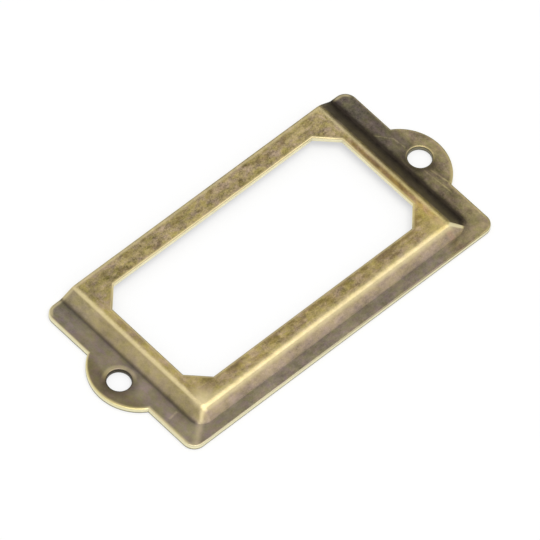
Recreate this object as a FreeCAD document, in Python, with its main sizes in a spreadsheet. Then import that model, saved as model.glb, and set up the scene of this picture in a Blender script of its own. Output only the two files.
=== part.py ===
"""Label frame pull: a card holder for a drawer front, pressed from one piece of thin sheet.

The back of the flange lies on the plane z = 0 and the face looks towards +Z. X runs along the long
side and +Y points to the open long side, where the card slides in. The origin lies midway between
the two screw holes, on the back.
"""
import FreeCAD, Part
import os

import Sketcher

Vector = FreeCAD.Vector

NODE = "label_frame"

# Driving dimensions in millimetres: name, size, what it measures.
SIZES = (
    ("sheet", 0.8, "thickness of the sheet, the same all over"),
    ("plate_length", 62.5, "flange, edge to edge along the long side, without the ears"),
    ("plate_width", 33.0, "flange edge to open edge"),
    ("corner_radius", 2.0, "rounding of the four outer corners"),
    ("ear_reach", 3.75, "how far each ear stands out past the flange edge"),
    ("ear_radius", 7.85, "radius of the round ears"),
    ("hole_inset", 4.0, "from the tip of each ear in to the centre of its screw hole"),
    ("hole_diameter", 3.8, "clear diameter of the screw holes"),
    ("face_raise", 1.2, "height of the raised face above the flange, which is the room for the card"),
    ("side_land", 3.45, "flat flange outside the two short walls"),
    ("side_run", 2.35, "how far each short wall leans inwards"),
    ("bottom_land", 2.2, "flat flange outside the long wall"),
    ("bottom_run", 2.0, "how far the long wall leans inwards"),
    ("foot_corner", 2.2, "rounding of the two corners of the walls at the foot, seen from the front"),
    ("ridge_corner", 0.7, "rounding of the same two corners at the ridge"),
    ("foot_bend", 0.4, "bend radius inside the crease at the foot of the walls"),
    ("ridge_bend", 0.9, "bend radius on the hollow side of the ridge"),
    ("side_strip", 1.8, "flat face left between the window and the ridge of each short wall"),
    ("bottom_strip", 3.1, "flat face left between the window and the ridge of the long wall"),
    ("top_strip", 3.8, "face left between the window and the open edge"),
    ("window_corner", 3.2, "leg of the window's four cut-off corners"),
    ("edge_round", 0.25, "softened edge that tumbling leaves all round the front"),
    ("cut_overrun", 2.0, "how far the hollow's cutting shape runs out past the open edge"),
)

# Distances from the middle to the feet of the short walls and of the long wall.
FOOT_REACH = "sizes.plate_length / 2 - sizes.side_land"
FOOT_END = "sizes.plate_width / 2 - sizes.bottom_land"
# Tolerance for lengths and slopes that are equal.
FLAT = 1e-4
# Least upward part of the normal of a surface that counts as the front.
FORWARD = 0.5


def make_sheet(doc):
    """The table of driving dimensions."""
    sheet = doc.addObject("Spreadsheet::Sheet", "sizes")
    for row, (alias, value, meaning) in enumerate(SIZES, start=1):
        sheet.set(f"A{row}", alias)
        sheet.set(f"B{row}", str(value))
        sheet.set(f"C{row}", meaning)
        sheet.setAlias(f"B{row}", alias)
    doc.recompute()
    return sheet


def origin_plane(body, role):
    """One of the body's own base planes."""
    return next(item for item in body.Origin.OriginFeatures if item.Role == role)


def new_sketch(body, name, height="0"):
    """An empty sketch parallel to the back plane, at the given height above it."""
    sketch = body.newObject("Sketcher::SketchObject", name)
    sketch.AttachmentSupport = (origin_plane(body, "XY_Plane"), [""])
    sketch.MapMode = "FlatFace"
    sketch.setExpression("AttachmentOffset.Base.z", height + " * 1 mm")
    return sketch


def value_of(sketch, expression):
    """The present value of an expression in the table's sizes."""
    return float(sketch.evalExpression(expression))


def dimension(sketch, kind, where, expression):
    """A sketch dimension that follows an expression in the table's sizes."""
    index = sketch.addConstraint(Sketcher.Constraint(kind, *where, value_of(sketch, expression)))
    sketch.setExpression(f"Constraints[{index}]", expression)


def line(sketch, start, end):
    """A straight stretch of an outline."""
    return sketch.addGeometry(Part.LineSegment(Vector(*start, 0), Vector(*end, 0)))


def arc(sketch, start, middle, end):
    """A round stretch of an outline, through three points."""
    return sketch.addGeometry(Part.Arc(Vector(*start, 0), Vector(*middle, 0), Vector(*end, 0)))


def end_at(sketch, geometry, point):
    """Which end of a piece of geometry, 1 or 2, lies at a point."""
    first = sketch.getPoint(geometry, 1).distanceToPoint(Vector(*point, 0))
    second = sketch.getPoint(geometry, 2).distanceToPoint(Vector(*point, 0))
    return 1 if first < second else 2


def join(sketch, kind, one, other, point):
    """Joins two stretches at a point, as Coincident or as Tangent."""
    ends = (one, end_at(sketch, one, point), other, end_at(sketch, other, point))
    sketch.addConstraint(Sketcher.Constraint(kind, *ends))


def corner_arc(sketch, centre, radius, side, end):
    """A quarter round about a centre, in the quadrant given by the signs side (x) and end (y)."""
    x, y = centre
    reach = radius / 2 ** 0.5
    points = ((x + side * radius, y), (x + side * reach, y + end * reach), (x, y + end * radius))
    if side * end < 0:
        points = points[::-1]
    return arc(sketch, *points)


def blank_outline(body):
    """Outline of the flat blank: a rounded rectangle with a round ear on each short side."""
    sketch = new_sketch(body, "blank_outline")
    half_length = value_of(sketch, "sizes.plate_length / 2")
    half_width = value_of(sketch, "sizes.plate_width / 2")
    radius = value_of(sketch, "sizes.corner_radius")
    ear_radius = value_of(sketch, "sizes.ear_radius")
    ear_centre = value_of(sketch, "sizes.plate_length / 2 + sizes.ear_reach - sizes.ear_radius")
    notch = (ear_radius ** 2 - (half_length - ear_centre) ** 2) ** 0.5
    ears = {}
    corners = {}
    sides = {}
    for side in (1, -1):
        x = side * half_length
        tip = side * (ear_centre + ear_radius)
        ears[side] = arc(sketch, (x, -side * notch), (tip, 0), (x, side * notch))
        sketch.addConstraint(Sketcher.Constraint("PointOnObject", ears[side], 3, -1))
        for end in (1, -1):
            centre = (side * (half_length - radius), end * (half_width - radius))
            corners[side, end] = corner_arc(sketch, centre, radius, side, end)
            sides[side, end] = line(sketch, (x, end * notch), (x, centre[1]))
            sketch.addConstraint(Sketcher.Constraint("Vertical", sides[side, end]))
            join(sketch, "Coincident", sides[side, end], ears[side], (x, end * notch))
            join(sketch, "Tangent", sides[side, end], corners[side, end], (x, centre[1]))
            if (side, end) != (1, 1):
                sketch.addConstraint(Sketcher.Constraint("Equal", corners[1, 1], corners[side, end]))
    for end in (1, -1):
        y = end * half_width
        reach = half_length - radius
        long_side = line(sketch, (-reach, y), (reach, y))
        sketch.addConstraint(Sketcher.Constraint("Horizontal", long_side))
        join(sketch, "Tangent", long_side, corners[-1, end], (-reach, y))
        join(sketch, "Tangent", long_side, corners[1, end], (reach, y))
        dimension(sketch, "DistanceY", (-1, 1, long_side, 1) if end > 0 else (long_side, 1, -1, 1),
                  "sizes.plate_width / 2")
    for side in (1, -1):
        upper = sides[side, 1]
        lower = sides[side, -1]
        sketch.addConstraint(Sketcher.Constraint("Vertical", upper, 1, lower, 1))
        dimension(sketch, "DistanceX", (-1, 1, upper, 1) if side > 0 else (upper, 1, -1, 1),
                  "sizes.plate_length / 2")
        dimension(sketch, "DistanceX", (-1, 1, ears[side], 3) if side > 0 else (ears[side], 3, -1, 1),
                  "sizes.plate_length / 2 + sizes.ear_reach - sizes.ear_radius")
    sketch.addConstraint(Sketcher.Constraint("Equal", ears[1], ears[-1]))
    dimension(sketch, "Radius", (ears[1],), "sizes.ear_radius")
    dimension(sketch, "Radius", (corners[1, 1],), "sizes.corner_radius")
    return sketch


def window_outline(body):
    """The eight-sided window, which leaves a named strip of the face on each side."""
    sketch = new_sketch(body, "window_outline")
    reach = f"{FOOT_REACH} - sizes.side_run - sizes.side_strip"
    above = "sizes.plate_width / 2 - sizes.top_strip"
    below = f"{FOOT_END} - sizes.bottom_run - sizes.bottom_strip"
    half_length = value_of(sketch, reach)
    levels = {1: value_of(sketch, above), -1: -value_of(sketch, below)}
    leg = value_of(sketch, "sizes.window_corner")
    points = []
    for side, end in ((1, 1), (-1, 1), (-1, -1), (1, -1)):
        flank = (side * half_length, levels[end] - end * leg)
        shelf = (side * (half_length - leg), levels[end])
        points += [flank, shelf] if side * end > 0 else [shelf, flank]
    edges = [line(sketch, start, end) for start, end in zip(points, points[1:] + points[:1])]
    for edge, following in zip(edges, edges[1:] + edges[:1]):
        sketch.addConstraint(Sketcher.Constraint("Coincident", edge, 2, following, 1))
    cut_1, top, cut_2, left, cut_3, bottom, cut_4, right = edges
    for edge in (top, bottom):
        sketch.addConstraint(Sketcher.Constraint("Symmetric", edge, 1, edge, 2, -2))
    for edge in (left, right):
        sketch.addConstraint(Sketcher.Constraint("Vertical", edge))
    dimension(sketch, "DistanceX", (left, 1, -1, 1), reach)
    dimension(sketch, "DistanceX", (-1, 1, right, 1), reach)
    dimension(sketch, "DistanceY", (bottom, 1, -1, 1), below)
    dimension(sketch, "DistanceY", (-1, 1, top, 1), above)
    dimension(sketch, "DistanceX", (top, 1, cut_1, 1), "sizes.window_corner")
    dimension(sketch, "DistanceX", (bottom, 2, cut_4, 2), "sizes.window_corner")
    dimension(sketch, "DistanceY", (cut_1, 1, cut_1, 2), "sizes.window_corner")
    dimension(sketch, "DistanceY", (cut_2, 2, cut_2, 1), "sizes.window_corner")
    dimension(sketch, "DistanceY", (cut_3, 2, cut_3, 1), "sizes.window_corner")
    dimension(sketch, "DistanceY", (cut_4, 1, cut_4, 2), "sizes.window_corner")
    return sketch


def hole_centres(body):
    """A circle at each screw hole, a set distance in from the tip of its ear."""
    sketch = new_sketch(body, "hole_centres")
    reach = "sizes.plate_length / 2 + sizes.ear_reach - sizes.hole_inset"
    radius = value_of(sketch, "sizes.hole_diameter / 2")
    circles = []
    for side in (1, -1):
        centre = Vector(side * value_of(sketch, reach), 0, 0)
        circle = sketch.addGeometry(Part.Circle(centre, Vector(0, 0, 1), radius))
        sketch.addConstraint(Sketcher.Constraint("PointOnObject", circle, 3, -1))
        circles.append(circle)
    sketch.addConstraint(Sketcher.Constraint("Equal", circles[0], circles[1]))
    dimension(sketch, "Diameter", (circles[0],), "sizes.hole_diameter")
    dimension(sketch, "DistanceX", (-1, 1, circles[0], 3), reach)
    dimension(sketch, "DistanceX", (circles[1], 3, -1, 1), reach)
    return sketch


def frustum(body, kind, name, levels, reaches, lower_ends, open_end):
    """A flat-sided block between two levels, square at the open end and leaning in on the other three."""
    block = body.newObject(kind, name)
    block.AttachmentSupport = (origin_plane(body, "XZ_Plane"), [""])
    block.MapMode = "FlatFace"
    for suffix, reach, lower_end in zip(("", "2"), reaches, lower_ends):
        block.setExpression(f"X{suffix}min", f"-({reach})")
        block.setExpression(f"X{suffix}max", reach)
        block.setExpression(f"Z{suffix}min", f"-({open_end})")
        block.setExpression(f"Z{suffix}max", lower_end)
    block.setExpression("Ymin", levels[0])
    block.setExpression("Ymax", levels[1])
    body.Document.recompute()
    return block


def corner_outline(body, name, height, reach, lower_end, radius):
    """At one level, what a round takes off the sharp corner where a short wall meets the long one."""
    sketch = new_sketch(body, name, height)
    x = value_of(sketch, reach)
    y = -value_of(sketch, lower_end)
    rounding = value_of(sketch, radius)
    quarter = corner_arc(sketch, (x - rounding, y + rounding), rounding, 1, -1)
    short_wall = line(sketch, (x, y + rounding), (x, y))
    long_wall = line(sketch, (x, y), (x - rounding, y))
    sketch.addConstraint(Sketcher.Constraint("Vertical", short_wall))
    sketch.addConstraint(Sketcher.Constraint("Horizontal", long_wall))
    join(sketch, "Coincident", short_wall, long_wall, (x, y))
    join(sketch, "Tangent", quarter, short_wall, (x, y + rounding))
    join(sketch, "Tangent", quarter, long_wall, (x - rounding, y))
    dimension(sketch, "DistanceX", (-1, 1, short_wall, 1), reach)
    dimension(sketch, "DistanceY", (long_wall, 1, -1, 1), lower_end)
    dimension(sketch, "Radius", (quarter,), radius)
    return sketch


def conical_corners(body, kind, name, foot, ridge):
    """Gives both corners of the walls their round, which narrows from the foot up to the ridge."""
    corner = body.newObject(kind, name)
    corner.Profile = foot
    corner.Sections = [ridge]
    corner.Ruled = True
    body.Document.recompute()
    both = body.newObject("PartDesign::Mirrored", name + "_mirrored")
    both.Originals = [corner]
    both.MirrorPlane = (origin_plane(body, "YZ_Plane"), [""])
    body.Tip = both
    body.Document.recompute()
    return both


def through_cut(body, name, sketch):
    """A cut from the back right through the sheet."""
    feature = body.newObject("PartDesign::Pocket", name)
    feature.Profile = sketch
    feature.Type = "ThroughAll"
    feature.Reversed = True
    body.Document.recompute()
    return feature


def fillet(body, name, is_wanted, radius):
    """Rounds the edges of the present shape whose middle point passes the test."""
    base = body.Tip
    wanted = []
    for number, edge in enumerate(base.Shape.Edges, start=1):
        if is_wanted(edge):
            wanted.append(f"Edge{number}")
    feature = body.newObject("PartDesign::Fillet", name)
    feature.Base = (base, wanted)
    feature.setExpression("Radius", radius)
    body.Document.recompute()
    return feature


def middle_of(edge):
    """The point halfway along an edge."""
    return edge.valueAt(edge.getParameterByLength(edge.Length / 2))


def is_front_rim(shape, edge):
    """True where a cut edge of the sheet, square to the back, meets a surface that faces forward."""
    middle = middle_of(edge)
    slopes = []
    for face in shape.ancestorsOfType(edge, Part.Face):
        slopes.append(face.normalAt(*face.Surface.parameter(middle)).z)
    return abs(min(slopes)) < FLAT and max(slopes) > FORWARD


def make_body(doc, sheet):
    """The pressed frame."""
    body = doc.addObject("PartDesign::Body", NODE)
    body.Label = NODE
    blank = body.newObject("PartDesign::Pad", "blank")
    blank.Profile = blank_outline(body)
    blank.setExpression("Length", "sizes.sheet")
    doc.recompute()

    # The hollow side of a bend lies inside its outer side by the sheet times tan(half the turn).
    side_shift = "sizes.sheet * tan(atan(sizes.face_raise / sizes.side_run) / 2)"
    bottom_shift = "sizes.sheet * tan(atan(sizes.face_raise / sizes.bottom_run) / 2)"
    frustum(body, "PartDesign::AdditiveWedge", "raised_part",
            ("sizes.sheet", "sizes.sheet + sizes.face_raise"),
            (FOOT_REACH, f"{FOOT_REACH} - sizes.side_run"),
            (FOOT_END, f"{FOOT_END} - sizes.bottom_run"),
            "sizes.plate_width / 2")
    at_foot = corner_outline(body, "foot_corner_outline", "sizes.sheet",
                             FOOT_REACH, FOOT_END, "sizes.foot_corner")
    at_ridge = corner_outline(body, "ridge_corner_outline", "(sizes.sheet + sizes.face_raise)",
                              f"{FOOT_REACH} - sizes.side_run", f"{FOOT_END} - sizes.bottom_run",
                              "sizes.ridge_corner")
    conical_corners(body, "PartDesign::SubtractiveLoft", "corner_outside", at_foot, at_ridge)

    open_edge = sheet.plate_width / 2
    face_height = sheet.sheet + sheet.face_raise

    def bounds_room(edge, height):
        """True for a level edge of the three walls at the given height, and not on the open edge."""
        middle = middle_of(edge)
        level = all(abs(vertex.Z - height) < FLAT for vertex in edge.Vertexes)
        inside = abs(middle.x) < sheet.plate_length / 2 - sheet.side_land + FLAT
        above = middle.y > sheet.bottom_land - open_edge - FLAT
        return level and inside and above and middle.y < open_edge - FLAT

    fillet(body, "ridge_outside", lambda edge: bounds_room(edge, face_height),
           "sizes.ridge_bend + sizes.sheet")
    fillet(body, "foot_crease", lambda edge: bounds_room(edge, sheet.sheet), "sizes.foot_bend")
    frustum(body, "PartDesign::SubtractiveWedge", "hollow",
            ("0", "sizes.face_raise"),
            (f"{FOOT_REACH} - {side_shift}", f"{FOOT_REACH} - sizes.side_run - {side_shift}"),
            (f"{FOOT_END} - {bottom_shift}", f"{FOOT_END} - sizes.bottom_run - {bottom_shift}"),
            "sizes.plate_width / 2 + sizes.cut_overrun")
    at_foot = corner_outline(body, "hollow_foot_corner", "0",
                             f"{FOOT_REACH} - {side_shift}", f"{FOOT_END} - {bottom_shift}",
                             f"sizes.foot_corner - {side_shift}")
    at_ridge = corner_outline(body, "hollow_ridge_corner", "sizes.face_raise",
                              f"{FOOT_REACH} - sizes.side_run - {side_shift}",
                              f"{FOOT_END} - sizes.bottom_run - {bottom_shift}",
                              f"sizes.ridge_corner - {side_shift}")
    conical_corners(body, "PartDesign::AdditiveLoft", "corner_inside", at_foot, at_ridge)
    fillet(body, "ridge_inside", lambda edge: bounds_room(edge, sheet.face_raise), "sizes.ridge_bend")
    fillet(body, "foot_outside", lambda edge: bounds_room(edge, 0), "sizes.foot_bend + sizes.sheet")

    through_cut(body, "window", window_outline(body))
    through_cut(body, "screw_holes", hole_centres(body))
    fillet(body, "front_rims", lambda edge: is_front_rim(body.Tip.Shape, edge), "sizes.edge_round")
    return body


def check(doc):
    """Stops if any feature failed or the body is no closed solid."""
    for item in doc.Objects:
        if "Invalid" in item.State or "Error" in item.State:
            raise RuntimeError(f"{item.Name} failed: {item.State}")
        if item.TypeId == "PartDesign::Body":
            shape = item.Shape
            if shape.isNull() or not shape.isValid() or len(shape.Solids) != 1:
                raise RuntimeError(f"{item.Name} is not one valid solid")


def main():
    """Builds the document and writes each body's solid."""
    doc = FreeCAD.newDocument("label_frame_pull")
    sheet = make_sheet(doc)
    make_body(doc, sheet)
    doc.recompute()
    check(doc)
    os.makedirs("parts", exist_ok=True)
    for item in doc.Objects:
        if item.TypeId == "PartDesign::Body":
            item.Shape.exportStep(f"parts/{item.Label}.step")


main()
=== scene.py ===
"""Label frame pull for a drawer front: one pressed sheet in antique brass on a pale studio floor.

Everything is in metres, in the part's own frame: the back of the flange lies on z = 0, the face
looks up, X runs along the long side and +Y points to the open long side.
"""

from math import hypot, radians, sqrt

import bmesh
import bpy
from bpy.props import FloatProperty, FloatVectorProperty, IntProperty
from mathutils import Matrix, Vector


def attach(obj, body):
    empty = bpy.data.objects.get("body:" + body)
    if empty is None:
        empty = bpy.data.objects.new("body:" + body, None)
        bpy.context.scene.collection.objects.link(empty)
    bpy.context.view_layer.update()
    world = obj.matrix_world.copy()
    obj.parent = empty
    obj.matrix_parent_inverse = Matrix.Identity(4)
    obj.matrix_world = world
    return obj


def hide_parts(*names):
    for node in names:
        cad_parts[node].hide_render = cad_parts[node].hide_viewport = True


bl_info = {
    "name": "Label frame pull",
    "version": (1, 0, 0),
    "blender": (4, 5, 0),
    "location": "3D View > Sidebar > Label Frame",
    "description": "Models a pressed label frame in antique brass and sets it on a studio floor",
    "category": "Object",
}

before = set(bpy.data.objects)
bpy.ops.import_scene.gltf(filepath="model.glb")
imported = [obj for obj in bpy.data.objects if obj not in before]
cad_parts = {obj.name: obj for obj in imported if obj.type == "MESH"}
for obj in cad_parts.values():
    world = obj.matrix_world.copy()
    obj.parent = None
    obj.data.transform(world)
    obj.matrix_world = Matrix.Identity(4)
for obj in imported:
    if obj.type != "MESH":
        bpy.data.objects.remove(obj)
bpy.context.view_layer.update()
NODE = "label_frame"

# Fine scratches in the flange: both ends and the half width in millimetres, and how bright each is.
SCRATCHES = (
    ((29.8, -2.35), (30.2, -7.8), 0.20, 0.34),
    ((30.6, -2.9), (31.2, -6.7), 0.20, 0.34),
    ((27.8, 8.2), (30.3, 5.1), 0.20, 0.20),
    ((30.3, 5.1), (30.5, 2.8), 0.20, 0.20),
    ((-29.9, -9.95), (-28.5, -9.8), 0.32, 0.22),
)

# The camera's place, and the directions of its right side and of its view.
CAMERA_PLACE = (-0.63233, -0.56582, 1.23270)
CAMERA_RIGHT = (0.72796278, -0.68299982, 0.0598451)
CAMERA_LOOK = (0.42252523, 0.37816844, -0.82368748)
LIGHT_PLACE = (0.08, -0.18, 1.0)
CARD_PLACE = (0.2642, 0.2613, 0.14)

# Tints that the colour of the finish is multiplied by.
WHITE = (1.0, 1.0, 1.0)
GREENISH = (1.01, 1.02, 0.85)
PURPLISH = (1.01, 0.975, 1.16)
GREYER = (0.99, 1.01, 1.08)
ROSIER = (1.03, 0.93, 1.03)
YELLOWER = (1.0, 0.98, 0.80)

MM = 0.001
# Lengths closer than this are the same length.
NEAR = 1e-6
# Least upward part of a normal that counts as facing forward, and most that counts as upright.
FORWARD = 0.5
UPRIGHT = 0.05
# Faces that meet at less than the first angle lie in one plane, and up to the second are smooth.
FLAT_ANGLE = radians(0.2)
SMOOTH_ANGLE = radians(35)
# Depth of the cutting tools, in thicknesses of the sheet.
CUTTER_DEPTH = 4


def length(name, description, millimetres):
    """A length that a user can change, given in millimetres and kept in metres."""
    return FloatProperty(name=name, description=description, default=millimetres * MM,
                         min=0.0, precision=5, unit="LENGTH", subtype="DISTANCE")


def steps(name, description, count):
    """A number of facets that a user can change."""
    return IntProperty(name=name, description=description, default=count, min=2,
                       subtype="UNSIGNED")


def fraction(name, description, value):
    """A share from 0 to 1 that a user can change."""
    return FloatProperty(name=name, description=description, default=value, min=0.0, max=1.0,
                         subtype="FACTOR")


def tint(name, description, colour):
    """A colour that a user can change, as linear red, green and blue."""
    return FloatVectorProperty(name=name, description=description, default=colour,
                               min=0.0, max=1.0, size=3, subtype="COLOR")


class FrameSizes(bpy.types.PropertyGroup):
    """Sizes of the pressed frame."""

    sheet: length("Sheet", "Thickness of the sheet", 0.8)
    plate_length: length("Plate length", "Flange along the long side, without the ears", 62.5)
    plate_width: length("Plate width", "Flange edge to open edge", 33.0)
    corner_radius: length("Corner radius", "Rounding of the four outer corners", 2.0)
    ear_reach: length("Ear reach", "How far each ear stands out past the flange", 3.75)
    ear_radius: length("Ear radius", "Radius of the round ears", 7.85)
    hole_inset: length("Hole inset", "From the tip of an ear to its hole's centre", 4.0)
    hole_diameter: length("Hole diameter", "Width of the screw holes", 3.8)
    face_raise: length("Face raise", "Height of the raised face above the flange", 1.2)
    side_land: length("Side land", "Flat flange outside the short walls", 3.45)
    side_run: length("Side run", "How far the short walls lean inwards", 2.35)
    bottom_land: length("Bottom land", "Flat flange outside the long wall", 2.2)
    bottom_run: length("Bottom run", "How far the long wall leans inwards", 2.0)
    foot_corner: length("Foot corner", "Rounding of the walls' two corners at the foot", 2.2)
    ridge_corner: length("Ridge corner", "Rounding of the same corners at the ridge", 0.7)
    side_strip: length("Side strip", "Face between window and short ridges", 1.8)
    bottom_strip: length("Bottom strip", "Face between window and long ridge", 3.1)
    top_strip: length("Top strip", "Face between window and open edge", 3.8)
    window_corner: length("Window corner", "Leg of the window's cut-off corners", 3.2)
    ridge_set_back: length("Ridge set-back", "Where the ridge bends begin on either side", 0.45)
    foot_set_back: length("Foot set-back", "Where the foot creases begin on either side", 0.09)
    edge_round: length("Edge round", "Softened front edges", 0.25)
    corner_steps: steps("Corner steps", "Facets round a corner of the walls", 16)
    plate_steps: steps("Plate steps", "Facets round an outer corner", 10)
    ridge_steps: steps("Ridge steps", "Facets across a ridge bend", 8)
    crease_steps: steps("Crease steps", "Facets across a foot crease", 3)
    edge_steps: steps("Edge steps", "Facets across a softened edge", 4)
    ear_steps: steps("Ear steps", "Facets round a full ear", 144)
    hole_steps: steps("Hole steps", "Facets round a screw hole", 72)

    @property
    def face_height(self):
        """Height of the face's front."""
        return self.sheet + self.face_raise

    @property
    def foot_reach(self):
        """Distance from the middle to the feet of the short walls."""
        return self.plate_length / 2 - self.side_land

    @property
    def ridge_reach(self):
        """Distance from the middle to the ridges of the short walls."""
        return self.foot_reach - self.side_run

    @property
    def foot_end(self):
        """Distance from the middle to the foot of the long wall."""
        return self.plate_width / 2 - self.bottom_land

    @property
    def ridge_end(self):
        """Distance from the middle to the ridge of the long wall."""
        return self.foot_end - self.bottom_run

    @property
    def ear_centre(self):
        """Distance from the middle to an ear's centre."""
        return self.plate_length / 2 + self.ear_reach - self.ear_radius

    @property
    def hole_reach(self):
        """Distance from the middle to a hole's centre."""
        return self.plate_length / 2 + self.ear_reach - self.hole_inset

    @property
    def window_reach(self):
        """Distance from the middle to the window's short sides."""
        return self.ridge_reach - self.side_strip

    @property
    def window_top(self):
        """Level of the window's side next to the open edge."""
        return self.plate_width / 2 - self.top_strip

    @property
    def window_bottom(self):
        """Level of the window's side next to the long ridge."""
        return self.bottom_strip - self.ridge_end


class BrassColours(bpy.types.PropertyGroup):
    """Colours of the antique finish."""

    bare: tint("Bare brass", "Metal worn bright along ridges and edges", (0.66, 0.56, 0.31))
    cut: tint("Cut brass", "Faces left by the cutting press", (0.82, 0.77, 0.52))
    olive: tint("Olive patina", "Greenish patches in the face", (0.315, 0.252, 0.098))
    rosy: tint("Rosy patina", "Pinkish brown patches in the face", (0.34, 0.26, 0.14))
    brown: tint("Brown patina", "Darker stains in the face", (0.17, 0.12, 0.045))
    gold: tint("Gold patina", "Thin patina on the short walls", (0.33, 0.27, 0.14))
    tan: tint("Tan patina", "Thin patina on the long wall", (0.338, 0.266, 0.172))
    moss: tint("Moss patina", "Greenish patches in the flange", (0.185, 0.16, 0.100))
    umber: tint("Umber patina", "Brown patches in the flange", (0.19, 0.15, 0.117))
    # Black, for the darker back and for painted shade in creases, holes, the right wall and the lower
    # cut edges.
    black_and_shade: tint("Black patina", "Patina left where nothing rubs", (0.030, 0.023, 0.017))


class StageSettings(bpy.types.PropertyGroup):
    """Floor, light, dark card and camera."""

    floor_size: FloatProperty(name="Floor size", description="Side of the floor", default=3.0,
                              min=0.1, unit="LENGTH", subtype="DISTANCE")
    floor_colour: tint("Floor colour", "Colour of the plain floor", (0.93, 0.93, 0.93))
    floor_glow: fraction("Floor glow", "How far shadows on the floor are lightened", 0.55)
    floor_gap: length("Floor gap", "From the flange's back down to the floor", 0.05)
    surround: fraction("Surround", "Strength of the even light from all round", 0.75)
    light_size: FloatProperty(name="Light size", description="Side of the soft box", default=0.8,
                              min=0.01, unit="LENGTH", subtype="DISTANCE")
    light_power: FloatProperty(name="Light power", description="Power of the soft box", default=4.5,
                               min=0.0, unit="POWER")
    card_width: length("Card width", "Width of the dark card", 450.0)
    card_height: length("Card height", "Height of the dark card", 280.0)
    card_turn: FloatProperty(name="Card turn", description="Turn of the card about the upright",
                             default=radians(-65), unit="ROTATION", subtype="ANGLE")
    lens: FloatProperty(name="Lens", description="Focal length", default=664.4,
                        min=1.0, unit="CAMERA", subtype="DISTANCE_CAMERA")


def choose(kind, wanted):
    """In edit mode, selects just the vertices, edges or faces that pass the test."""
    bpy.ops.mesh.select_mode(type=kind)
    bpy.ops.mesh.select_all(action="DESELECT")
    mesh = bpy.context.edit_object.data
    form = bmesh.from_edit_mesh(mesh)
    form.normal_update()
    for element in {"VERT": form.verts, "EDGE": form.edges, "FACE": form.faces}[kind]:
        if wanted(element):
            element.select_set(True)
    form.select_flush_mode()
    bmesh.update_edit_mesh(mesh)


def cut(place, normal, **sides):
    """In edit mode, cuts the whole mesh along a plane."""
    bpy.ops.mesh.select_all(action="SELECT")
    bpy.ops.mesh.bisect(plane_co=place, plane_no=normal, threshold=NEAR / 10, **sides)


def add_outline(reach, low, high, level):
    """In edit mode, adds a rectangle as wide as twice the reach and leaves it selected."""
    bpy.ops.mesh.primitive_plane_add(size=1.0)
    bpy.ops.transform.resize(value=(2 * reach, high - low, 1))
    bpy.ops.transform.translate(value=(0, (low + high) / 2, level))


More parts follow.
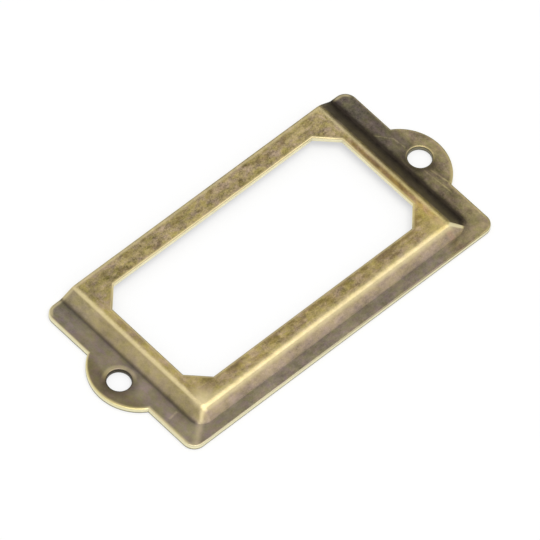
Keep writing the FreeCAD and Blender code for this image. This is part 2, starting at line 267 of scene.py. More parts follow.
def make_sheet(sizes):
    """The front surface of the pressed sheet, with its bends, before it has a thickness."""
    open_edge = sizes.plate_width / 2
    bpy.ops.object.select_all(action="DESELECT")
    bpy.ops.mesh.primitive_plane_add(size=1.0)
    sheet = bpy.context.object
    sheet.name = "pressed_frame"
    bpy.ops.object.mode_set(mode="EDIT")
    bpy.ops.mesh.select_all(action="SELECT")
    bpy.ops.mesh.delete(type="VERT")

    # The raised part starts as the outline of its foot, with two rounded corners, pulled up.
    add_outline(sizes.foot_reach, -sizes.foot_end, open_edge, sizes.sheet)
    choose("VERT", lambda v: v.co.y < 0)
    bpy.ops.mesh.bevel(affect="VERTICES", offset=sizes.foot_corner, segments=sizes.corner_steps)
    choose("FACE", lambda f: True)
    bpy.ops.mesh.extrude_region_move(TRANSFORM_OT_translate={"value": (0, 0, sizes.face_raise)})
    choose("FACE", lambda f: all(v.co.z < sizes.sheet + NEAR for v in f.verts)
           or all(v.co.y > open_edge - NEAR for v in f.verts))
    bpy.ops.mesh.delete(type="FACE")

    def on_top(vertex, side, low, high):
        return (vertex.co.x * side > 0 and vertex.co.z > sizes.face_height - NEAR
                and low - NEAR < vertex.co.y < high + NEAR)

    # Its top outline is drawn in, so that the walls lean and the corners narrow to the ridge.
    centre_x = sizes.foot_reach - sizes.foot_corner
    centre_y = sizes.foot_corner - sizes.foot_end
    narrowing = sizes.ridge_corner / sizes.foot_corner
    for side in (1, -1):
        choose("VERT", lambda v: on_top(v, side, open_edge, open_edge))
        bpy.ops.transform.translate(value=(-side * sizes.side_run, 0, 0))
        choose("VERT", lambda v: on_top(v, side, -sizes.foot_end, centre_y))
        bpy.ops.transform.resize(value=(narrowing, narrowing, 1),
                                 center_override=(side * centre_x, centre_y, 0))
        bpy.ops.transform.translate(value=(
            side * (sizes.ridge_reach - sizes.ridge_corner - centre_x),
            sizes.ridge_corner - sizes.ridge_end - centre_y, 0))

    # The flange fills the room between the foot and the plate's own outline.
    add_outline(sizes.plate_length / 2, -sizes.plate_width / 2, open_edge, sizes.sheet)
    choose("VERT", lambda v: abs(v.co.x) > sizes.foot_reach + NEAR)
    bpy.ops.mesh.bevel(affect="VERTICES", offset=sizes.corner_radius, segments=sizes.plate_steps)
    choose("FACE", lambda f: all(v.co.z < sizes.sheet + NEAR for v in f.verts))
    bpy.ops.mesh.delete(type="ONLY_FACE")
    for side in (1, -1):
        choose("EDGE", lambda e: not e.link_faces)
        bpy.ops.mesh.bisect(plane_co=(side * sizes.foot_reach, 0, 0), plane_no=(1, 0, 0),
                            threshold=NEAR / 10)
    choose("EDGE", lambda e: not e.link_faces and all(
        abs(v.co.x) < sizes.foot_reach + NEAR and v.co.y > open_edge - NEAR for v in e.verts))
    bpy.ops.mesh.delete(type="EDGE")
    bpy.ops.mesh.select_all(action="SELECT")
    bpy.ops.mesh.remove_doubles(threshold=NEAR)
    choose("EDGE", lambda e: len(e.link_faces) < 2
           and all(v.co.z < sizes.sheet + NEAR for v in e.verts))
    bpy.ops.mesh.edge_face_add()
    bpy.ops.mesh.select_all(action="SELECT")
    bpy.ops.mesh.normals_make_consistent(inside=False)

    # The ridges and the foot creases become bends.
    choose("EDGE", lambda e: not e.is_boundary
           and all(v.co.z > sizes.face_height - NEAR for v in e.verts))
    bpy.ops.mesh.bevel(offset=sizes.ridge_set_back, segments=sizes.ridge_steps)
    choose("EDGE", lambda e: not e.is_boundary
           and all(v.co.z < sizes.sheet + NEAR for v in e.verts))
    bpy.ops.mesh.bevel(offset=sizes.foot_set_back, segments=sizes.crease_steps)
    bpy.ops.object.mode_set(mode="OBJECT")
    return sheet


def apply_modifier(piece, kind, **settings):
    """Adds a modifier to a piece and applies it."""
    bpy.context.view_layer.objects.active = piece
    modifier = piece.modifiers.new(kind.lower(), kind)
    for name, value in settings.items():
        setattr(modifier, name, value)
    bpy.ops.object.modifier_apply(modifier=modifier.name)


def make_ear(sizes, side):
    """The part of a round ear that lies outside the walls."""
    bpy.ops.object.select_all(action="DESELECT")
    bpy.ops.mesh.primitive_cylinder_add(
        vertices=sizes.ear_steps, radius=sizes.ear_radius, depth=sizes.sheet,
        location=(side * sizes.ear_centre, 0, sizes.sheet / 2))
    ear = bpy.context.object
    bpy.ops.object.transform_apply(location=True, rotation=True, scale=True)
    bpy.ops.object.mode_set(mode="EDIT")
    # It overlaps the flange, but ends well before the wall.
    inner = sizes.foot_reach + sizes.side_land / 3
    cut((side * inner, 0, 0), (side, 0, 0), use_fill=True, clear_inner=True)
    bpy.ops.object.mode_set(mode="OBJECT")
    return ear


def make_hole_cutter(sizes, side):
    """A round bar through a screw hole."""
    bpy.ops.object.select_all(action="DESELECT")
    bpy.ops.mesh.primitive_cylinder_add(
        vertices=sizes.hole_steps, radius=sizes.hole_diameter / 2, depth=CUTTER_DEPTH * sizes.sheet,
        location=(side * sizes.hole_reach, 0, 0))
    cutter = bpy.context.object
    bpy.ops.object.transform_apply(location=True, rotation=True, scale=True)
    return cutter


def make_window_cutter(sizes):
    """An eight-sided block through the window."""
    bpy.ops.object.select_all(action="DESELECT")
    middle = (sizes.window_top + sizes.window_bottom) / 2
    bpy.ops.mesh.primitive_cube_add(size=1.0, location=(0, middle, sizes.face_height))
    cutter = bpy.context.object
    cutter.scale = (2 * sizes.window_reach, sizes.window_top - sizes.window_bottom,
                    CUTTER_DEPTH * sizes.sheet)
    bpy.ops.object.transform_apply(location=True, rotation=True, scale=True)
    bpy.ops.object.mode_set(mode="EDIT")
    choose("EDGE", lambda e: abs(e.verts[0].co.z - e.verts[1].co.z) > NEAR)
    bpy.ops.mesh.bevel(offset=sizes.window_corner, segments=1)
    bpy.ops.object.mode_set(mode="OBJECT")
    return cutter


def combine(piece, other, operation):
    """Joins another shape to the piece or cuts it away, and removes the other shape."""
    apply_modifier(piece, "BOOLEAN", operation=operation, object=other, solver="EXACT")
    bpy.data.objects.remove(other)


def soften_rims(piece, sizes):
    """Rounds every cut edge of the sheet where it meets the front."""
    bpy.ops.object.select_all(action="DESELECT")
    bpy.context.view_layer.objects.active = piece
    piece.select_set(True)
    bpy.ops.object.mode_set(mode="EDIT")
    bpy.ops.mesh.select_all(action="SELECT")
    bpy.ops.mesh.remove_doubles(threshold=NEAR)
    # A seam through the holes and one through the window leave no flat face with a hole in it.
    for normal in ((0, 1, 0), (1, 0, 0)):
        cut((0, 0, 0), normal)
        bpy.ops.mesh.mark_seam()
    bpy.ops.mesh.select_all(action="SELECT")
    bpy.ops.mesh.dissolve_limited(angle_limit=FLAT_ANGLE, delimit={"SEAM"})
    bpy.ops.mesh.select_all(action="SELECT")
    bpy.ops.mesh.mark_seam(clear=True)

    def is_rim(edge):
        slopes = sorted(face.normal.z for face in edge.link_faces)
        return len(slopes) == 2 and abs(slopes[0]) < UPRIGHT and slopes[1] > FORWARD

    choose("EDGE", is_rim)
    bpy.ops.mesh.bevel(offset=sizes.edge_round, segments=sizes.edge_steps)
    bpy.ops.object.mode_set(mode="OBJECT")


class Wire:
    """An output of a shader node. Arithmetic on it adds the Math node that works it out."""

    def __init__(self, paint, socket):
        self.paint = paint
        self.socket = socket

    def __add__(self, other):
        return self.paint.math("ADD", self, other)

    __radd__ = __add__

    def __sub__(self, other):
        return self.paint.math("SUBTRACT", self, other)

    def __rsub__(self, other):
        return self.paint.math("SUBTRACT", other, self)

    def __mul__(self, other):
        return self.paint.math("MULTIPLY", self, other)

    __rmul__ = __mul__

    def __truediv__(self, other):
        return self.paint.math("DIVIDE", self, other)

    def __rtruediv__(self, other):
        return self.paint.math("DIVIDE", other, self)

    def __abs__(self):
        return self.paint.math("ABSOLUTE", self)


class Paint:
    """Builds the nodes of one material or of the world."""

    def __init__(self, tree):
        self.tree = tree
        tree.nodes.clear()

    def node(self, kind, settings=None, output=0, **inputs):
        """Adds a node, sets it up, feeds its inputs with values or wires, and gives one output."""
        made = self.tree.nodes.new("ShaderNode" + kind)
        for name, value in (settings or {}).items():
            setattr(made, name, value)
        for name, value in inputs.items():
            self.feed(made.inputs[self.find(made.inputs, name)], value)
        return Wire(self, made.outputs[output]) if len(made.outputs) else made

    def find(self, sockets, name):
        """Place of an input, named as input_3 or by its label with underscores for spaces."""
        if name.startswith("input_"):
            return int(name[6:])
        label = name.replace("_", " ")
        return next(place for place, socket in enumerate(sockets)
                    if socket.name == label and socket.enabled)

    def feed(self, socket, value):
        """Links a wire to an input, or sets a plain value."""
        if isinstance(value, Wire):
            self.tree.links.new(value.socket, socket)
        elif hasattr(socket.default_value, "__len__") and len(socket.default_value) == 4:
            socket.default_value = (*value, 1.0) if len(value) == 3 else value
        else:
            socket.default_value = value

    def math(self, operation, first, second=0.0):
        """One Math node."""
        return self.node("Math", {"operation": operation}, input_0=first, input_1=second)

    def least(self, first, second):
        return self.math("MINIMUM", first, second)

    def most(self, first, second):
        return self.math("MAXIMUM", first, second)

    def fade(self, value, low, high, at_low=0.0, at_high=1.0):
        """A smooth passage between two values as the input goes from low to high."""
        return self.node("MapRange", {"interpolation_type": "SMOOTHSTEP"}, Value=value,
                         From_Min=low, From_Max=high, To_Min=at_low, To_Max=at_high)

    def mix(self, share, first, second):
        """A colour between two others."""
        return self.node("Mix", {"data_type": "RGBA"}, output=2, Factor=share, input_6=first,
                         input_7=second)

    def length(self, first, second):
        """Length of a plane vector."""
        return self.math("SQRT", first * first + second * second)

    def multiply(self, colour, other):
        """Two colours multiplied."""
        return self.node("Mix", {"data_type": "RGBA", "blend_type": "MULTIPLY"}, output=2,
                         Factor=1.0, input_6=colour, input_7=other)

    def tinge(self, share, colour, other):
        """A colour multiplied by another, as far as the share says."""
        return self.multiply(colour, self.mix(share, WHITE, other))

    def darken(self, colour, level):
        """A colour multiplied by a plain number."""
        return self.multiply(colour, self.node("CombineColor", Red=level, Green=level, Blue=level))

    def noise(self, place, size, detail, roughness=0.55):
        """Cloudy noise whose patches are about the given size, in the units of the place."""
        return self.node("TexNoise", Vector=place, Scale=1.0 / size, Detail=detail, Roughness=roughness)

    def moved(self, place, shift, scale=(1.0, 1.0, 1.0)):
        """The place shifted to other clouds, and stretched for streaks."""
        return self.node("Mapping", Vector=place, Location=shift, Scale=scale)


class Survey:
    """Distances over the part in millimetres, and shares from 0 to 1 that tell its zones apart."""

    def __init__(self, paint, sizes):
        self.paint = paint
        here = paint.node("TexCoord", output=3)
        self.place = paint.node("VectorMath", {"operation": "SCALE"}, Vector=here, Scale=1 / MM)
        self.x, self.y, self.z = (paint.node("SeparateXYZ", output=axis, Vector=self.place)
                                  for axis in range(3))
        self.out = abs(self.x)
        down = -1.0 * self.y

        # Which way the surface faces, and which half of the part it is in.
        self.facing = paint.node("SeparateXYZ", output=2, Vector=paint.node("TexCoord", output=1))
        self.front = paint.fade(self.facing, -0.2, 0.1)
        self.upright = paint.fade(abs(self.facing), 0.2, 0.7, 1.0, 0.0)
        self.right = paint.fade(self.x, -20.0, 20.0)
        self.left = 1.0 - self.right

        # Past the ridge and past the foot of the walls, and the share of the way down them.
        self.ridge = self.outside(self.out, down, sizes.ridge_reach, sizes.ridge_end,
                                  sizes.ridge_corner)
        self.foot = self.outside(self.out, down, sizes.foot_reach, sizes.foot_end,
                                 sizes.foot_corner)
        self.drop = self.ridge / (self.ridge - self.foot)

        # Past the short and the long ridge. The turn is 0 where the walls meet, and above 0 on the
        # short one.
        self.side = self.out - sizes.ridge_reach / MM
        self.end = down - sizes.ridge_end / MM
        self.turn = self.side * (MM / sizes.side_run) - self.end * (MM / sizes.bottom_run)
        self.on_side = paint.fade(self.turn, -0.02, 0.06)
        # The height of the walls, and the painted highlight that tapers down the right mitre.
        self.above_foot = paint.fade(self.drop, 0.85, 1.05, 1.0, 0.0)
        self.mitre_highlight = (paint.fade(self.turn - self.drop * 0.20, -0.46, -0.24)
                      * paint.fade(self.turn, 0.08, 0.20, 1.0, 0.0)
                      * paint.fade(self.drop, -0.1, 0.15) * self.above_foot * self.right)

        # Outside the window and the screw holes, and inside the outline.
        middle = (sizes.window_top + sizes.window_bottom) / 2 / MM
        half = (sizes.window_top - sizes.window_bottom) / 2 / MM
        reach = sizes.window_reach / MM
        rise = abs(self.y - middle)
        leg = reach + half - sizes.window_corner / MM
        self.window = paint.most(paint.most(self.out - reach, rise - half),
                                 (self.out + rise - leg) * sqrt(0.5))
        plate = self.outside(self.out, abs(self.y), sizes.plate_length / 2, sizes.plate_width / 2,
                             sizes.corner_radius)
        ear = paint.length(self.out - sizes.ear_centre / MM, self.y) - sizes.ear_radius / MM
        self.inside = -1.0 * paint.least(plate, ear)
        from_hole = self.x - paint.math("SIGN", self.x) * (sizes.hole_reach / MM)
        to_hole = paint.length(from_hole, self.y)
        self.hole = to_hole - sizes.hole_diameter / 2 / MM
        # The side of each screw hole whose edge gets painted light; the other side gets painted shade.
        self.hole_lit_side = paint.fade((from_hole + self.y) / to_hole, -0.6, 0.9)

        # Clouds of several sizes. The strips have theirs drawn out along the strip.
        self.lengthwise = (paint.fade(self.side, -2.2, -1.2)
                           * paint.fade(self.side - self.end, -1.0, 0.0))
        self.cloud = paint.noise(self.place, 1.2, detail=5.0, roughness=0.60)
        self.grain = paint.noise(self.place, 0.34, detail=4.0, roughness=0.7)
        self.speck = paint.noise(self.place, 0.15, detail=2.0, roughness=0.6)
        self.ragged = (self.cloud - 0.5) * 0.5 + (self.grain - 0.5) * 0.3

    def outside(self, first, second, reach, end, radius):
        """Distance outside a rectangle with rounded corners."""
        paint = self.paint
        past_reach = first - (reach - radius) / MM
        past_end = second - (end - radius) / MM
        return paint.least(paint.most(past_reach, past_end), 0.0) + paint.length(
            paint.most(past_reach, 0.0), paint.most(past_end, 0.0)) - radius / MM

    def drawn_out(self, size, stretch, shift, detail=4.0):
        """Cloudy noise drawn out along the nearest strip."""
        paint = self.paint
        along_x, along_y = (
            paint.noise(paint.moved(self.place, shift, scale), size, detail, roughness=0.6)
            for scale in ((1.0 / stretch, stretch, 1.0), (stretch, 1.0 / stretch, 1.0)))
        return along_x + (along_y - along_x) * self.lengthwise

    def line(self, start, stop, width):
        """A soft line between two points: 1 along its middle, 0 beside it and past its ends."""
        run = stop[0] - start[0], stop[1] - start[1]
        reach = hypot(*run)
        step_x, step_y = self.x - start[0], self.y - start[1]
        along = (step_x * run[0] + step_y * run[1]) / reach
        across = abs((step_x * run[1] - step_y * run[0]) / reach)
        beyond = self.paint.most(-1.0 * along, along - reach)
        return self.paint.fade(self.paint.most(across, beyond), 0.0, width, 1.0, 0.0)


# The finish is laid out by fades. Each passes between two values as a distance on the part, in
# millimetres, or a cloud, which drifts about 0.5, goes from its first number to its second.


def patina(paint, at, colours):
    """The colour of the finish before any wear, with painted shade next to the wall feet and on the
    left wall corners, and a painted highlight on the right wall corners.
    """
    patch = at.drawn_out(1.1, 1.25, (31, 7, 0), detail=3.0)
    stain = at.drawn_out(1.9, 1.35, (11, 47, 0))
    hue = at.drawn_out(1.5, 1.15, (5, 23, 0), detail=3.0)
    streak = at.drawn_out(0.9, 1.35, (71, 13, 0))
    broad = paint.noise(paint.moved(at.place, (3, 91, 0)), 4.5, detail=2.0)

    # The left end of the face is calmer. Its right strip is browner in the middle than at the ends.
    calm = paint.fade(at.x, -24.0, -15.0, 1.0, 0.0)
    on_right = paint.fade(at.x, 22.0, 24.0)
    from_middle = abs(at.y - 2.0)
    on_top_strip = paint.fade(at.y, 9.0, 12.0)
    by_window = paint.fade(at.end, -2.4, -1.0, 0.10, 0.0) * paint.fade(at.y, -6.0, -9.0)
    by_ridge = on_right * paint.fade(from_middle, 4.0, 9.0, 0.18, -0.10)
    browned = paint.fade(stain + by_window + by_ridge, 0.50, 0.66) * (1.0 - calm * 0.45)

    face = paint.mix(paint.fade(patch, 0.36, 0.64), colours.olive, colours.rosy)
    face = paint.mix(browned * 0.65, face, colours.brown)
    wall = paint.mix(paint.fade(at.turn, -0.5, 0.0), colours.tan, colours.gold)
    wall = paint.mix(paint.fade(at.drop, 0.45, 1.0, 0.0, 0.5), wall, colours.umber)
    flange = paint.mix(paint.fade(patch, 0.40, 0.62), colours.moss, colours.umber)
    tone = paint.mix(paint.fade(at.drop + at.ragged * 0.4, -0.1, 0.3), face, wall)
    tone = paint.mix(paint.fade(at.drop + at.ragged * 0.1, 0.95, 1.03), tone, flange)

    # Drifts of hue, weaker on the walls and weakest at the mitres.
    steady = paint.fade(at.drop, -0.2, 0.2, 1.0, 0.5) * paint.fade(abs(at.turn), 0.0, 0.5, 0.2, 1.0)
    hue = paint.fade(0.5 + (hue - 0.5) * steady, 0.36, 0.64)
    tone = paint.multiply(tone, paint.mix(hue, GREENISH, PURPLISH))
    tone = paint.tinge(on_top_strip, tone, GREYER)
    core = on_right * paint.fade(abs(at.side + 1.1), 0.2, 0.7, 1.0, 0.0)
    tone = paint.tinge(core * paint.fade(at.y, 7.0, 10.0, 1.0, 0.0), tone, ROSIER)

    # The flange darkens towards the open side. The tip of the left ear is darker still, and that of
    # the right one is paler.
    on_flange = paint.fade(at.drop, 1.0, 1.2)
    tip = paint.fade(at.out, 31.2, 32.6)
    upper = paint.fade(at.y, -9.0, 3.0) * (1.0 - tip)
    level = at.left * (0.12 - 0.33 * tip - 0.12 * upper)
    level = level + at.right * (0.14 + 0.14 * tip - 0.52 * upper)
    # Painted shade: the flange is darker next to the foot of the walls.
    level = (1.0 + level) * paint.fade(at.foot, 0.2, 1.8, 0.86, 1.02)
    level = 1.0 + (level - 1.0) * on_flange

    # The ends of the right strip are paler. The wall corners get a painted highlight on the right and
    # painted shade on the left.
    ends = on_right * paint.fade(from_middle, 6.0, 10.5) * paint.fade(at.y, -11.5, -9.0)
    level = level * (1.0 + ends * paint.fade(at.drop, 0.0, 0.3, 0.20, 0.0))
    painted_cone_light = paint.fade(abs(at.turn), 0.3, 0.9, 1.0, 0.0) * paint.fade(at.drop, 0.1, 0.7)
    painted_cone_light = painted_cone_light * paint.fade(at.drop, 0.95, 1.05, 1.0, 0.0)
    level = level * (1.0 + painted_cone_light * (at.right * 0.30 - at.left * 0.32))

    # Mottling, fine and broad.
    mottle = ((streak - 0.5) * 1.3 + (at.cloud - 0.5) * 0.8 + (at.grain - 0.5) * 1.2
              + (at.speck - 0.5) * 0.9)
    mottle = mottle * paint.fade(at.drop, -0.3, 0.1, 0.9, 0.6) * (1.0 + on_top_strip * 0.35)
    mottle = mottle * (1.0 - calm * 0.38)
    mottle = mottle + (broad - 0.5) * paint.fade(at.drop, 0.9, 1.1, 1.1, 1.3)
    mottle = mottle * (1.0 + on_flange * paint.fade(at.x, 18.0, 27.0, -0.10, 0.40))
    return paint.darken(tone, level * (1.0 + mottle))


def worn(paint, at):
    """How far the finish is rubbed off, on ridges and rims, round the corners and in scratches,
    together with painted highlights at the corners, down the right mitre and round the left hole.
    """
    # The short ridges, the right one shifted inwards, and the long one, which is wider on the left.
    near = at.ridge + at.right * 0.30
    short = paint.fade(near + at.ragged * 0.6, -0.70, -0.05)
    short = short * paint.fade(near + at.ragged * 0.3, 0.10, 0.38, 1.0, 0.0)
    short = short * (0.72 - at.right * 0.08) * paint.fade(at.end - at.side, 0.0, 0.5, 1.0, 0.0)
    wider = paint.fade(at.x, -25.0, -17.0, 0.55, 0.0)
    long = paint.fade(at.ridge + at.ragged * 0.6 + wider, -1.2, 0.4)
    long = long * paint.fade(at.ridge + at.ragged * 0.3, 0.40, 1.0, 1.0, 0.0)
    long = long * 0.70 * paint.fade(at.side - at.end, 0.0, 0.5, 1.0, 0.0)
    rubbed = paint.most(short, long)

    # The corners of the face, worn and with a painted highlight, and the lines from them down the walls
    # and over the flange.
    to_corner = paint.length(at.side + 0.3, at.end + 0.3)
    glow = paint.fade(to_corner + at.ragged * 1.8, 0.3, 4.2, 1.0, 0.0) * (0.82 - at.right * 0.34)
    rubbed = paint.most(rubbed, glow * paint.fade(at.drop, 0.0, 0.35, 1.0, 0.0))
    mitre = paint.fade(abs(at.turn - 0.04) + at.ragged * 0.2, 0.0, 0.34, 1.0, 0.0) * at.left * 0.34
    mitre = mitre * paint.fade(at.drop, 0.0, 0.2) * at.above_foot
    # The left mitre is worn; the right mitre gets the painted highlight.
    rubbed = paint.most(rubbed, paint.most(mitre, at.mitre_highlight))
    rubbed = paint.most(rubbed, at.line((-27.3, -13.7), (-30.3, -16.0), 0.9) * 0.30)
    rubbed = paint.most(rubbed, at.line((25.0, -15.5), (29.6, -15.2), 1.4) * 0.14)

    # Rims of the window, the outline and the screw holes, with a painted highlight on the far side of
    # the left hole.
    rim = paint.fade(at.window + at.ragged * 0.4, 0.0, 0.52, 1.0, 0.0)
    reach = paint.fade(at.out, 28.0, 30.0, 0.0, 0.48) * paint.fade(at.y, -2.0, 2.0, 1.0, 0.5)
    reach = reach + 0.22
    edge = paint.fade(at.inside + at.ragged * 0.3, 0.05, reach, 1.0, 0.0) * (0.95 - at.right * 0.35)
    edge = edge * paint.fade(at.y, -14.0, -16.0, 1.0, 0.5)
    by_opening = paint.fade(abs(at.inside - 0.4) + at.ragged * 0.4, 0.0, 0.4, 1.0, 0.0)
    edge = paint.most(edge, by_opening * paint.fade(at.y, 14.5, 15.5) * 0.55)
    hole_highlight = paint.fade(abs(at.hole - 0.45), 0.0, 0.55, 1.0, 0.0) * at.hole_lit_side
    hole_highlight = hole_highlight * at.left * 0.30
    thin_ring = paint.fade(abs(at.hole - 0.2), 0.0, 0.2, 1.0, 0.0) * at.right * 0.40
    rubbed = paint.most(rubbed, paint.most(paint.most(rim, edge), hole_highlight + thin_ring))

    broken_up = paint.fade(at.cloud, 0.40, 0.56, 0.45, 1.0)
    for start, stop, width, strength in SCRATCHES:
        rubbed = paint.most(rubbed, at.line(start, stop, width) * broken_up * strength)
    return paint.least(rubbed * (0.9 + at.ragged), 1.0) * at.front


def painted_shade(paint, at):
    """Painted shade: in the foot creases, on the right wall and on the near side of the screw holes."""
    # Painted shade in the foot creases, stronger and wider along the short walls than along the long
    # one.
    from_foot = abs(at.foot)
    crease_shade_side = paint.fade(from_foot + at.ragged * 0.3, 0.05, 0.60, 0.30, 0.0)
    crease_shade_side = crease_shade_side + paint.fade(abs(at.foot + 0.02), 0.0, 0.42, 0.33, 0.0)
    crease_shade_side = crease_shade_side * paint.fade(at.turn, 0.1, 0.8)
    crease_shade_end = paint.fade(from_foot + at.ragged * 0.1, 0.02, 0.20, 0.18, 0.0)

    # Painted shade on the right wall, which runs out a little over the flange and tapers at the mitre.
    past_foot = at.foot + at.ragged * 1.2 + paint.fade(at.turn, 0.3, 1.3, 0.6, 0.0)
    shade = paint.fade(at.ridge + at.ragged * 0.3, 0.0, 0.42)
    shade = shade * paint.fade(past_foot, 0.2, 1.15, 1.0, 0.0) * paint.fade(at.turn, 0.12, 0.24)
    shade = shade * paint.fade(at.foot, -1.8, 0.0, 0.70, 0.93) * (1.0 + at.ragged * 0.8)
    shade = shade * at.right

    dark = paint.most(paint.most(crease_shade_side * at.on_side, shade), crease_shade_end * (1.0 - at.on_side))
    # Painted shade on the near side of each screw hole, stronger on the right.
    hole_shade = paint.fade(at.hole + at.ragged * 0.5, 0.15, 1.8, 1.0, 0.0) * (1.0 - at.hole_lit_side)
    return paint.most(dark, hole_shade * (0.45 + at.right * 0.25))


def brass_material(sizes, colours):
    """Antique brass: dark patina, worn bright along ridges, mitres and cut edges, with painted
    highlights and painted shade.
    """
    material = bpy.data.materials.new("antique_brass")
    material.use_nodes = True
    paint = Paint(material.node_tree)
    at = Survey(paint, sizes)
    wear = worn(paint, at)
    dark = painted_shade(paint, at)
    tone = paint.mix(wear, patina(paint, at, colours), colours.bare)
    # Painted highlight along the left outer edge and down the right mitre.
    painted_highlight = paint.most(paint.fade(at.inside, 0.0, 0.28, 0.75, 0.0) * at.left, at.mitre_highlight * 0.3)
    tone = paint.mix(painted_highlight * at.front, tone, colours.cut)
    # The ears and the lower right corner are yellower, but not the walls.
    warm = paint.fade(at.x, 20.0, 24.0) * paint.fade(at.y, 6.0, -5.0)
    warm = paint.most(paint.fade(at.out, 30.8, 32.3), warm)
    warm = warm * paint.fade(abs(at.drop - 0.5), 0.3, 0.5)
    tone = paint.tinge(warm, tone, YELLOWER)
    # Painted shade from the creases, the right wall and round the screw holes.
    tone = paint.mix(dark * at.front, tone, colours.black_and_shade)
    tone = paint.mix((1.0 - at.front) * 0.7, tone, colours.black_and_shade)

    # The cut faces are bright, with painted shade along their lower edge and inside the screw holes.
    cut_level = paint.fade(at.window, 0.5, 1.0, 1.12, 1.0) + at.ragged * 0.5
    cut_face = paint.darken(colours.cut, cut_level)
    tone = paint.mix(at.upright * 0.95, tone, cut_face)
    tone = paint.mix(at.upright * paint.fade(at.z, 0.06, 0.34, 0.70, 0.0), tone, colours.black_and_shade)
    # Painted shade inside the screw holes, lighter on the right.
    in_hole_shade = paint.fade(at.hole, 0.02, 0.14, 1.0, 0.0) * at.front
    tone = paint.mix(in_hole_shade * (0.96 - at.right * 0.22), tone, colours.black_and_shade)

    rough = paint.least(0.40 + (at.grain - 0.5) * 0.3 - wear * 0.08 + dark * 0.25, 0.7)
    height = at.cloud * 0.35 + at.grain * 0.25 + at.speck * 0.12
    bump = paint.node("Bump", Strength=0.35, Distance=0.04 * MM, Height=height)
    shader = paint.node("BsdfPrincipled", Base_Color=tone, Roughness=rough, Metallic=1.0, Normal=bump)
    paint.node("OutputMaterial", Surface=shader)
    return material


class LABEL_OT_pressed_frame(bpy.types.Operator):
    """Models the pressed frame in place of the plain solid and gives it its antique finish"""

    bl_idname = "label.pressed_frame"
    bl_label = "Pressed Frame"

    def execute(self, context):
        sizes = context.scene.label_sizes
        piece = make_sheet(sizes)
        apply_modifier(piece, "SOLIDIFY", thickness=sizes.sheet, offset=-1.0, use_even_offset=True,
                       use_quality_normals=True)
        for side in (1, -1):
            combine(piece, make_ear(sizes, side), "UNION")
        for side in (1, -1):
            combine(piece, make_hole_cutter(sizes, side), "DIFFERENCE")
        combine(piece, make_window_cutter(sizes), "DIFFERENCE")
        soften_rims(piece, sizes)
        bpy.ops.object.shade_smooth_by_angle(angle=SMOOTH_ANGLE)
        apply_modifier(piece, "WEIGHTED_NORMAL", keep_sharp=True)
        piece.data.materials.clear()
        piece.data.materials.append(brass_material(sizes, context.scene.brass_colours))
        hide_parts(NODE)
        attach(piece, "root")
        return {"FINISHED"}


def floor_material(settings):
    """Plain pale floor."""
    material = bpy.data.materials.new("pale_floor")
    material.use_nodes = True
    paint = Paint(material.node_tree)
    plain = paint.node("BsdfPrincipled", Base_Color=tuple(settings.floor_colour), Roughness=0.7)
    white = paint.node("Emission", Color=WHITE, Strength=1.0)
    seen = paint.node("LightPath", output=0)
    shader = paint.node("MixShader", input_0=seen * settings.floor_glow, input_1=plain,
                        input_2=white)
    paint.node("OutputMaterial", Surface=shader)
    return material


def light_world(scene, settings):
    """An even pale surround, white where it is seen or mirrored."""
    world = bpy.data.worlds.new("studio")
    world.use_nodes = True
    scene.world = world
    paint = Paint(world.node_tree)
    seen = paint.node("LightPath", output=0)
    mirrored = paint.node("LightPath", output=3)
    through = paint.node("LightPath", output=6)
    shown = paint.most(paint.most(seen, mirrored), through)
    strength = paint.fade(shown, 0.0, 1.0, settings.surround, 1.0)
    shader = paint.node("Background", Color=WHITE, Strength=strength)
    paint.node("OutputWorld", Surface=shader)


def add_soft_light(settings):
    """A square soft box overhead that points at the part."""
    bpy.ops.object.select_all(action="DESELECT")
    bpy.ops.object.light_add(type="AREA", location=LIGHT_PLACE)
    lamp = bpy.context.object
    lamp.name = "overhead_light"
    lamp.data.shape = "SQUARE"
    lamp.data.size = settings.light_size
    lamp.data.energy = settings.light_power
    lamp.rotation_euler = (-Vector(LIGHT_PLACE)).to_track_quat("-Z", "Y").to_euler()


def add_dark_card(settings):
    """A dark card beyond the part, out of sight, which gives the metal something dark to mirror."""
    bpy.ops.object.select_all(action="DESELECT")
    bpy.ops.mesh.primitive_plane_add(size=1.0, location=CARD_PLACE,
                                     rotation=(radians(90), 0, settings.card_turn))
    card = bpy.context.object
    card.name = "dark_card"
    card.scale = (settings.card_width, settings.card_height, 1)
    material = bpy.data.materials.new("dark_card")
    material.use_nodes = True
    paint = Paint(material.node_tree)
    shader = paint.node("BsdfPrincipled", Base_Color=(0.02, 0.02, 0.02), Roughness=0.9)
    paint.node("OutputMaterial", Surface=shader)
    card.data.materials.append(material)
    card.visible_camera = False
    card.visible_diffuse = False
    card.visible_shadow = False


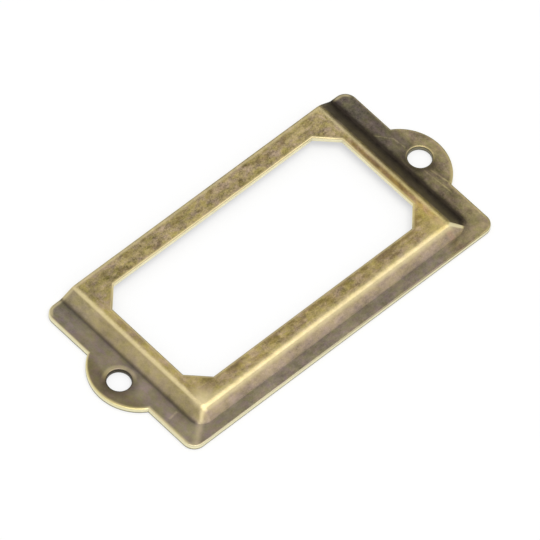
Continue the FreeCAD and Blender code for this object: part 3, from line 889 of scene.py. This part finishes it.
def add_floor(settings):
    """A plain floor just below the flange's back, so that the two never share a plane."""
    bpy.ops.object.select_all(action="DESELECT")
    bpy.ops.mesh.primitive_plane_add(size=settings.floor_size, location=(0, 0, -settings.floor_gap))
    floor = bpy.context.object
    floor.name = "studio_floor"
    floor.data.materials.append(floor_material(settings))


def add_camera(scene, settings):
    """A camera far off with a long lens, so that the part shows hardly any perspective."""
    bpy.ops.object.camera_add(location=CAMERA_PLACE)
    camera = bpy.context.object
    camera.name = "photo_camera"
    camera.data.lens = settings.lens
    camera.data.clip_start = 0.1
    camera.data.clip_end = 10.0
    right, look = Vector(CAMERA_RIGHT), Vector(CAMERA_LOOK)
    turn = Matrix((right, right.cross(look), -look)).transposed().to_4x4()
    camera.matrix_world = Matrix.Translation(camera.location) @ turn
    scene.camera = camera


class LABEL_OT_studio(bpy.types.Operator):
    """Sets out the floor, the soft light, the dark card and the camera"""

    bl_idname = "label.studio"
    bl_label = "Studio"

    def execute(self, context):
        scene = context.scene
        settings = scene.label_stage
        add_floor(settings)
        light_world(scene, settings)
        add_soft_light(settings)
        add_dark_card(settings)
        add_camera(scene, settings)
        scene.view_settings.view_transform = "Standard"
        return {"FINISHED"}


class LABEL_PT_panel(bpy.types.Panel):
    """Lists the steps that build the label frame"""

    bl_label = "Label Frame"
    bl_idname = "LABEL_PT_panel"
    bl_space_type = "VIEW_3D"
    bl_region_type = "UI"
    bl_category = "Label Frame"

    def draw(self, context):
        for step in STEPS:
            self.layout.operator(step.bl_idname)


GROUPS = {"label_sizes": FrameSizes, "brass_colours": BrassColours, "label_stage": StageSettings}
STEPS = (LABEL_OT_pressed_frame, LABEL_OT_studio)


def register():
    for kind in (*GROUPS.values(), *STEPS, LABEL_PT_panel):
        bpy.utils.register_class(kind)
    for name, kind in GROUPS.items():
        setattr(bpy.types.Scene, name, bpy.props.PointerProperty(type=kind))


def unregister():
    for name in GROUPS:
        delattr(bpy.types.Scene, name)
    for kind in reversed((*GROUPS.values(), *STEPS, LABEL_PT_panel)):
        bpy.utils.unregister_class(kind)


def main():
    """Builds everything."""
    register()
    bpy.ops.label.pressed_frame()
    bpy.ops.label.studio()


if __name__ == "__main__":
    main()
